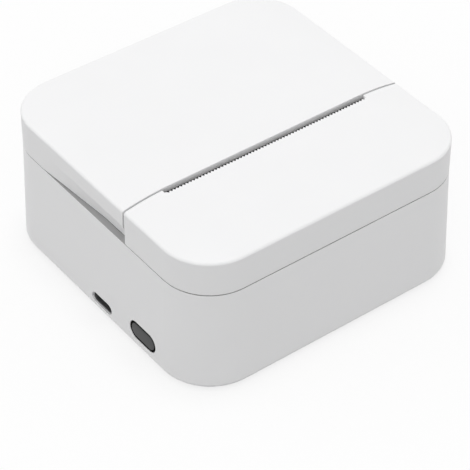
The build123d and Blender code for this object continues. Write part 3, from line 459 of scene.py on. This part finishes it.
def instance_tree(name, inputs):
    """Geometry tree that sets a shape on every point of its mesh, with named inputs."""
    tree = bpy.data.node_groups.new(name, "GeometryNodeTree")
    tree.is_modifier = True
    tree.interface.new_socket("Geometry", in_out="INPUT", socket_type="NodeSocketGeometry")
    for label, kind in inputs.items():
        tree.interface.new_socket(label, in_out="INPUT", socket_type="NodeSocket" + kind)
    tree.interface.new_socket("Geometry", in_out="OUTPUT", socket_type="NodeSocketGeometry")
    given, result = tree.nodes.new("NodeGroupInput"), tree.nodes.new("NodeGroupOutput")
    return tree, given, result


def end_tree(tree, given, result, shape, turn=None):
    """Close a tree: instances on the points, realised, with their material."""
    link = tree.links.new
    spread = tree.nodes.new("GeometryNodeInstanceOnPoints")
    real = tree.nodes.new("GeometryNodeRealizeInstances")
    paint = tree.nodes.new("GeometryNodeSetMaterial")
    link(given.outputs["Geometry"], spread.inputs["Points"])
    link(shape, spread.inputs["Instance"])
    if turn:
        link(turn, spread.inputs["Rotation"])
    link(spread.outputs["Instances"], real.inputs["Geometry"])
    link(real.outputs["Geometry"], paint.inputs["Geometry"])
    link(given.outputs["Material"], paint.inputs["Material"])
    link(paint.outputs["Geometry"], result.inputs["Geometry"])


def grown(name, tree, points, values):
    """Plain object that a geometry tree makes on points, with its inputs set."""
    seed = bpy.data.meshes.new(name + "_points")
    seed.from_pydata(points, [], [])
    holder = bpy.data.objects.new(name + "_points", seed)
    bpy.context.scene.collection.objects.link(holder)
    grow = holder.modifiers.new("grow", "NODES")
    grow.node_group = tree
    for item in tree.interface.items_tree:
        if item.in_out == "INPUT" and item.name in values:
            grow[item.identifier] = values[item.name]
    made = holder.evaluated_get(bpy.context.evaluated_depsgraph_get())
    mesh = bpy.data.meshes.new_from_object(made)
    mesh.name = name
    bpy.data.objects.remove(holder)
    return bpy.data.objects.new(name, mesh)


def bar_tree():
    """Small bars: a box of a given size on every point."""
    tree, given, result = instance_tree("small_bars", {"Size": "Vector", "Material": "Material"})
    bar = tree.nodes.new("GeometryNodeMeshCube")
    tree.links.new(given.outputs["Size"], bar.inputs["Size"])
    end_tree(tree, given, result, bar.outputs["Mesh"])
    return tree


bars = bar_tree()
contact_count = 12
contact_pitch = 0.0005
contact_size = (0.004, 0.00025, 0.00006)
tongue_low, tongue_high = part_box("usb_tongue")
tongue_middle = (tongue_low + tongue_high) / 2
contact_places = []
for step in range(contact_count):
    shift = (step - (contact_count - 1) / 2) * contact_pitch
    for z in (tongue_low.z, tongue_high.z):
        contact_places.append((tongue_middle.x, tongue_middle.y + shift, z))
contacts = grown("usb_contacts", bars, contact_places, {"Size": contact_size, "Material": gold})
place_piece(contacts, "root")


# Rubber feet: four soft discs of grey rubber, cut from sheet. They are glued in their
# seats under the housing, where they hide the heads of the case screws.
grey_rubber = moulded(
    "grey_rubber",
    dark=(0.09, 0.09, 0.092),
    light=(0.12, 0.12, 0.122),
    gloss=(0.75, 0.85),
    grain_size=0.0004,
    grain_depth=0.00003,
)
dress(["rubber_feet"], grey_rubber)


# Paper bay and sensor: one grey ABS moulding with the trough for the roll, the deck and
# the guide, screwed down from below. A black optical block sits flush in the guide.
grey_frame = moulded(
    "grey_frame",
    dark=(0.3, 0.305, 0.31),
    light=(0.33, 0.335, 0.34),
    gloss=(0.45, 0.55),
    grain_size=0.0003,
    grain_depth=0.00001,
)
dress(["paper_bay"], grey_frame)
dress(["paper_sensor"], black_plastic)


# Platen roller: black silicone rubber, ground true on a steel shaft with an acetal gear.
# It turns in acetal bushings, in the arms of a zinc-plated bracket screwed under the lid.
roller_rubber = moulded(
    "roller_rubber",
    dark=(0.02, 0.02, 0.021),
    light=(0.03, 0.03, 0.031),
    gloss=(0.5, 0.6),
    grain_size=0.0001,
    grain_depth=0.000006,
)
dress(["platen_rubber"], roller_rubber)
steel = metal("steel", dark=(0.5, 0.5, 0.51), light=(0.6, 0.6, 0.61), gloss=(0.28, 0.4))
dress(["platen_shaft"], steel)
acetal = moulded(
    "acetal",
    dark=(0.72, 0.71, 0.67),
    light=(0.76, 0.75, 0.71),
    gloss=(0.32, 0.4),
    grain_size=0.0004,
)
dress(["platen_bushings", "platen_gear"], acetal)
zinc_sheet = metal(
    "zinc_sheet",
    dark=(0.55, 0.56, 0.57),
    light=(0.62, 0.63, 0.64),
    gloss=(0.34, 0.45),
    line_width=0.0004,
)
dress(["platen_bracket"], zinc_sheet)


# Hinge pins: two ground steel pins, pressed in the lugs of the lid. They turn in the
# knuckles at the back of the housing.
dress(["hinge_pins"], steel)


# Chassis and loose gears: zinc-plated sheet, punched and folded, that is screwed to posts
# of the housing. Two moulded acetal gears turn on steel studs riveted in its side.
dress(["mechanism_chassis"], zinc_sheet)
dress(["gear_axles"], steel)
dress(["idler_gear", "reduction_gear"], acetal)


# Print head: glazed ceramic strip with its brown heater line, bonded to a ribbed
# aluminium sink. A bowed steel spring presses it, and a flat amber cable feeds it.
def band_mask(material, axis, middle, half):
    """Mask that is one within a band across the piece, on its own coordinates."""
    tree = material.node_tree
    place = tree.nodes.new("ShaderNodeTexCoord")
    split = tree.nodes.new("ShaderNodeSeparateXYZ")
    near = tree.nodes.new("ShaderNodeMath")
    near.operation = "COMPARE"
    near.inputs[1].default_value = middle
    near.inputs[2].default_value = half
    tree.links.new(place.outputs["Object"], split.inputs["Vector"])
    tree.links.new(split.outputs[axis], near.inputs[0])
    return near.outputs["Value"]


def banded(material, mask, colour):
    """Lay a band of another colour over a finish."""
    tree = material.node_tree
    shader = tree.nodes["Principled BSDF"]
    under = shader.inputs["Base Color"].links[0].from_socket
    mix = tree.nodes.new("ShaderNodeMix")
    mix.data_type = "RGBA"
    mix.inputs["B"].default_value = (*colour, 1.0)
    tree.links.new(mask, mix.inputs["Factor"])
    tree.links.new(under, mix.inputs["A"])
    tree.links.new(mix.outputs["Result"], shader.inputs["Base Color"])


heater_brown = (0.16, 0.07, 0.03)
heater_half = 0.0012
roller_low, roller_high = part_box("platen_rubber")
roller_z = (roller_low.z + roller_high.z) / 2
ceramic = moulded(
    "ceramic",
    dark=(0.62, 0.6, 0.55),
    light=(0.66, 0.64, 0.59),
    gloss=(0.12, 0.2),
    grain_size=0.0005,
)
banded(ceramic, band_mask(ceramic, "Z", roller_z, heater_half), heater_brown)
dress(["print_head"], ceramic)
aluminium = metal(
    "aluminium",
    dark=(0.6, 0.61, 0.62),
    light=(0.68, 0.69, 0.7),
    gloss=(0.35, 0.45),
)
dress(["head_heatsink"], aluminium)
spring_steel = metal(
    "spring_steel",
    dark=(0.4, 0.4, 0.42),
    light=(0.5, 0.5, 0.52),
    gloss=(0.25, 0.35),
)
dress(["head_spring"], spring_steel)
amber_film = moulded(
    "amber_film",
    dark=(0.42, 0.2, 0.04),
    light=(0.47, 0.24, 0.06),
    gloss=(0.25, 0.35),
    grain_size=0.001,
)
dress(["head_cable"], amber_film)


# Motor: stepper motor in a plated can, with a terminal block, screwed to the side of the
# chassis by its ears. A brass pinion is pressed on its shaft.
motor_plate = metal(
    "motor_plate",
    dark=(0.58, 0.58, 0.58),
    light=(0.66, 0.66, 0.66),
    gloss=(0.25, 0.35),
    line_width=0.0003,
)
dress(["stepper_motor"], motor_plate)
brass = metal("brass", dark=(0.6, 0.42, 0.16), light=(0.7, 0.5, 0.2), gloss=(0.25, 0.35))
dress(["motor_pinion"], brass)


# Main board: glass-fibre board with a green solder mask, screwed to its posts. Soldered
# on it are cream sockets, black chips, a tinned radio can, the side push switch and
# rows of small parts.
def solid_boxes(name):
    """Low and high corners of the box round each separate solid of a CAD node."""
    shape = merged(name)
    found = set()
    boxes = []
    for start in shape.verts:
        if start in found:
            continue
        found.add(start)
        solid = [start]
        for corner in solid:
            for edge in corner.link_edges:
                other = edge.other_vert(corner)
                if other not in found:
                    found.add(other)
                    solid.append(other)
        values_by_axis = list(zip(*(corner.co for corner in solid)))
        low = Vector([min(values) for values in values_by_axis])
        high = Vector([max(values) for values in values_by_axis])
        boxes.append((low, high))
    shape.free()
    return boxes


solder_mask = moulded(
    "solder_mask",
    dark=(0.01, 0.09, 0.03),
    light=(0.015, 0.12, 0.045),
    gloss=(0.28, 0.35),
    grain_size=0.0008,
    grain_depth=0.000006,
)
dress(["main_board"], solder_mask)
cream_socket = moulded(
    "cream_socket",
    dark=(0.7, 0.67, 0.58),
    light=(0.74, 0.71, 0.62),
    gloss=(0.4, 0.5),
)
dress(["board_sockets"], cream_socket)
dress(["board_chips", "power_switch"], black_plastic)
tin = metal(
    "tin",
    dark=(0.6, 0.6, 0.6),
    light=(0.68, 0.68, 0.68),
    gloss=(0.25, 0.35),
    line_width=0.0003,
)
dress(["radio_module"], tin)
ochre_body = moulded(
    "ochre_body",
    dark=(0.3, 0.2, 0.11),
    light=(0.34, 0.23, 0.13),
    gloss=(0.3, 0.4),
)
small_part = (0.0016, 0.0008, 0.0005)
small_part_sunk = 0.00005
row_count = 6
capacitor_gap = 0.0011
resistor_gap = 0.003
chip_boxes = solid_boxes("board_chips")
small_part_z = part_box("main_board")[1].z + small_part[2] / 2 - small_part_sunk
for name, finish, gap in (
    ("board_capacitors", ochre_body, capacitor_gap),
    ("board_resistors", black_plastic, resistor_gap),
):
    places = []
    for low, high in chip_boxes:
        for step in range(row_count):
            y = low.y + (high.y - low.y) * step / (row_count - 1)
            places.append((low.x - gap, y, small_part_z))
            places.append((high.x + gap, y, small_part_z))
    row = grown(name, bars, places, {"Size": small_part, "Material": finish})
    place_piece(row, "root")


# Battery: flat lithium cell in dark blue shrink wrap. It stands on edge between its
# fences, along the front wall of the housing.
blue_wrap = moulded(
    "blue_wrap",
    dark=(0.02, 0.05, 0.14),
    light=(0.025, 0.06, 0.17),
    gloss=(0.25, 0.35),
    grain_size=0.002,
    grain_depth=0.00004,
)
dress(["battery_pack"], blue_wrap)


# Screws: plated steel, with flat heads and pressed cross recesses. Four go up into the
# case from over the feet, and the small ones hold the board, the chassis, the motor and
# the bracket in the lid.
head_sides = 32
shank_sides = 16
recess_reach = 1.1
recess_width = 0.24


def screw_tree():
    """Screws: a head with a cross recess and a shank, turned the same way at each point.
    The recess is given in shares of the head's radius."""
    inputs = {
        "Head radius": "Float",
        "Head height": "Float",
        "Shank radius": "Float",
        "Shank length": "Float",
        "Turn": "Rotation",
        "Material": "Material",
    }
    tree, given, result = instance_tree("screws", inputs)
    link = tree.links.new

    def times(socket, factor):
        scaled = tree.nodes.new("ShaderNodeMath")
        scaled.operation = "MULTIPLY"
        scaled.inputs[1].default_value = factor
        link(socket, scaled.inputs[0])
        return scaled.outputs["Value"]

    def along_z(socket):
        combined = tree.nodes.new("ShaderNodeCombineXYZ")
        link(socket, combined.inputs["Z"])
        return combined.outputs["Vector"]

    def cylinder(radius, length, shift, sides):
        rod = tree.nodes.new("GeometryNodeMeshCylinder")
        rod.inputs["Vertices"].default_value = sides
        move = tree.nodes.new("GeometryNodeTransform")
        link(radius, rod.inputs["Radius"])
        link(length, rod.inputs["Depth"])
        link(rod.outputs["Mesh"], move.inputs["Geometry"])
        link(along_z(shift), move.inputs["Translation"])
        return move.outputs["Geometry"]

    head_radius, head_height = given.outputs["Head radius"], given.outputs["Head height"]
    head = cylinder(head_radius, head_height, times(head_height, 0.5), head_sides)
    shank_radius, shank_length = given.outputs["Shank radius"], given.outputs["Shank length"]
    shank = cylinder(shank_radius, shank_length, times(shank_length, -0.5), shank_sides)
    cut = tree.nodes.new("GeometryNodeMeshBoolean")
    cut.operation = "DIFFERENCE"
    link(head, cut.inputs["Mesh 1"])
    for long_axis, short_axis in (("X", "Y"), ("Y", "X")):
        size = tree.nodes.new("ShaderNodeCombineXYZ")
        link(times(head_radius, recess_reach), size.inputs[long_axis])
        link(times(head_radius, recess_width), size.inputs[short_axis])
        link(head_height, size.inputs["Z"])
        arm = tree.nodes.new("GeometryNodeMeshCube")
        move = tree.nodes.new("GeometryNodeTransform")
        link(size.outputs["Vector"], arm.inputs["Size"])
        link(arm.outputs["Mesh"], move.inputs["Geometry"])
        link(along_z(head_height), move.inputs["Translation"])
        link(move.outputs["Geometry"], cut.inputs["Mesh 2"])
    both = tree.nodes.new("GeometryNodeJoinGeometry")
    link(cut.outputs["Mesh"], both.inputs["Geometry"])
    link(shank, both.inputs["Geometry"])
    end_tree(tree, given, result, both.outputs["Geometry"], given.outputs["Turn"])
    return tree


screws = screw_tree()
for name, direction, head_radius, head_height, shank_radius in (
    ("case_screws", (0, 0, -1), 0.0022, 0.0016, 0.001),
    ("board_screws", (0, 0, 1), 0.0016, 0.0009, 0.0008),
    ("chassis_screws", (0, 0, 1), 0.0016, 0.0009, 0.0008),
    ("bracket_screws", (0, 0, -1), 0.0016, 0.0009, 0.0008),
    ("motor_screws", (1, 0, 0), 0.0016, 0.0009, 0.0008),
):
    head_way = Vector(direction)
    seats = []
    for low, high in solid_boxes(name):
        length = abs((high - low).dot(head_way))
        seats.append((low + high) / 2 + head_way * (length / 2 - head_height))
    values = {
        "Head radius": head_radius,
        "Head height": head_height,
        "Shank radius": shank_radius,
        "Shank length": length - head_height,
        "Turn": head_way.to_track_quat("Z", "Y").to_euler(),
        "Material": steel,
    }
    fasteners = grown("fitted_" + name, screws, seats, values)
    place_piece(fasteners, body_of_node[name], [name])


# Studio: a white floor, whose back can be seen through, and one soft lamp overhead. The
# light from round about is brighter low down than high up, and a little more so on the left.
floor_half = 3.0
floor_ways = ((-1, -1), (1, -1), (1, 1), (-1, 1))
floor_corners = [(x * floor_half, y * floor_half, 0) for x, y in floor_ways]
floor_mesh = bpy.data.meshes.new("studio_floor")
floor_mesh.from_pydata(floor_corners, [], [(0, 1, 2, 3)])
studio_floor = bpy.data.objects.new("studio_floor", floor_mesh)
bpy.context.scene.collection.objects.link(studio_floor)


def seen_rays(tree):
    """One for the rays that show the background: to the camera, in gloss and through glass."""
    path = tree.nodes.new("ShaderNodeLightPath")
    total = path.outputs["Is Camera Ray"]
    for ray in ("Is Glossy Ray", "Is Transmission Ray"):
        most = tree.nodes.new("ShaderNodeMath")
        most.operation = "MAXIMUM"
        tree.links.new(total, most.inputs[0])
        tree.links.new(path.outputs[ray], most.inputs[1])
        total = most.outputs["Value"]
    return total


paper_thrown = (0.2, 0.2, 0.2, 1)
paper_seen = (0.97, 0.97, 0.97, 1)
paper_glow = 0.75


def studio_paper():
    """White paper. Where it is seen, it is brighter than in the light that it throws back,
    and a share of plain glow makes its shadows faint."""
    material = bpy.data.materials.new("studio_paper")
    material.use_nodes = True
    tree = material.node_tree
    tree.nodes.clear()
    seen = seen_rays(tree)
    side = tree.nodes.new("ShaderNodeNewGeometry")
    tone = tree.nodes.new("ShaderNodeMix")
    tone.data_type = "RGBA"
    tone.inputs["A"].default_value = paper_thrown
    tone.inputs["B"].default_value = paper_seen
    paper = tree.nodes.new("ShaderNodeBsdfDiffuse")
    glow = tree.nodes.new("ShaderNodeEmission")
    glow.inputs["Color"].default_value = (1, 1, 1, 1)
    share = tree.nodes.new("ShaderNodeMath")
    share.operation = "MULTIPLY"
    share.inputs[1].default_value = paper_glow
    lifted = tree.nodes.new("ShaderNodeMixShader")
    clear = tree.nodes.new("ShaderNodeBsdfTransparent")
    through = tree.nodes.new("ShaderNodeMixShader")
    result = tree.nodes.new("ShaderNodeOutputMaterial")
    tree.links.new(seen, tone.inputs["Factor"])
    tree.links.new(tone.outputs["Result"], paper.inputs["Color"])
    tree.links.new(side.outputs["Backfacing"], through.inputs["Fac"])
    tree.links.new(seen, share.inputs[0])
    tree.links.new(share.outputs["Value"], lifted.inputs["Fac"])
    tree.links.new(paper.outputs["BSDF"], lifted.inputs[1])
    tree.links.new(glow.outputs["Emission"], lifted.inputs[2])
    tree.links.new(lifted.outputs["Shader"], through.inputs[1])
    tree.links.new(clear.outputs["BSDF"], through.inputs[2])
    tree.links.new(through.outputs["Shader"], result.inputs["Surface"])
    return material


floor_mesh.materials.append(studio_paper())

lamp_place = Vector((0.25, 0.1, 2.4))
lamp = bpy.data.lights.new("key_lamp", "AREA")
lamp.size = 0.6
lamp.energy = 9.0
lamp_holder = bpy.data.objects.new("key_lamp", lamp)
lamp_holder.location = lamp_place
lamp_holder.rotation_mode = "QUATERNION"
lamp_holder.rotation_quaternion = (-lamp_place).to_track_quat("-Z", "Y")
bpy.context.scene.collection.objects.link(lamp_holder)

low_light = 1.43
high_light = 0.75
light_turns_from = 0.3
light_turns_to = 0.5
light_lean = 0.12
world = bpy.data.worlds.new("studio")
bpy.context.scene.world = world
world.use_nodes = True
walls_round = world.node_tree
sky = walls_round.nodes["Background"]
sky.inputs["Color"].default_value = (1, 1, 1, 1)
way = walls_round.nodes.new("ShaderNodeTexCoord")
parted = walls_round.nodes.new("ShaderNodeSeparateXYZ")
leaned = walls_round.nodes.new("ShaderNodeMath")
leaned.operation = "MULTIPLY_ADD"
leaned.inputs[1].default_value = light_lean
height = walls_round.nodes.new("ShaderNodeMapRange")
height.interpolation_type = "SMOOTHSTEP"
height.inputs["From Min"].default_value = light_turns_from
height.inputs["From Max"].default_value = light_turns_to
height.inputs["To Min"].default_value = low_light
height.inputs["To Max"].default_value = high_light
strength = walls_round.nodes.new("ShaderNodeMix")
strength.inputs["B"].default_value = 1.0
walls_round.links.new(way.outputs["Generated"], parted.inputs["Vector"])
walls_round.links.new(parted.outputs["X"], leaned.inputs[0])
walls_round.links.new(parted.outputs["Z"], leaned.inputs[2])
walls_round.links.new(leaned.outputs["Value"], height.inputs["Value"])
walls_round.links.new(height.outputs["Result"], strength.inputs["A"])
walls_round.links.new(seen_rays(walls_round), strength.inputs["Factor"])
walls_round.links.new(strength.outputs["Result"], sky.inputs["Strength"])


# Camera: a long lens that looks down on the front left corner, from a little over half a
# metre away. Its place and angles were fitted to the outlines of the object.
camera_place = (-0.25563, -0.33823, 0.37285)
azimuth = math.radians(-37.107)
elevation = math.radians(41.164)
roll = math.radians(-0.098)
back = Vector(
    (
        math.sin(azimuth) * math.cos(elevation),
        -math.cos(azimuth) * math.cos(elevation),
        math.sin(elevation),
    )
)
lens = bpy.data.cameras.new("camera")
lens.lens = 158.98
lens.sensor_width = 36.0
lens.clip_start = 0.01
lens.clip_end = 20.0
camera = bpy.data.objects.new("camera", lens)
camera.location = camera_place
camera.rotation_mode = "QUATERNION"
level = (-back).to_track_quat("-Z", "Y")
camera.rotation_quaternion = level @ Matrix.Rotation(-roll, 3, "Z").to_quaternion()
bpy.context.scene.collection.objects.link(camera)
bpy.context.scene.camera = camera
bpy.context.scene.view_settings.view_transform = "Standard"
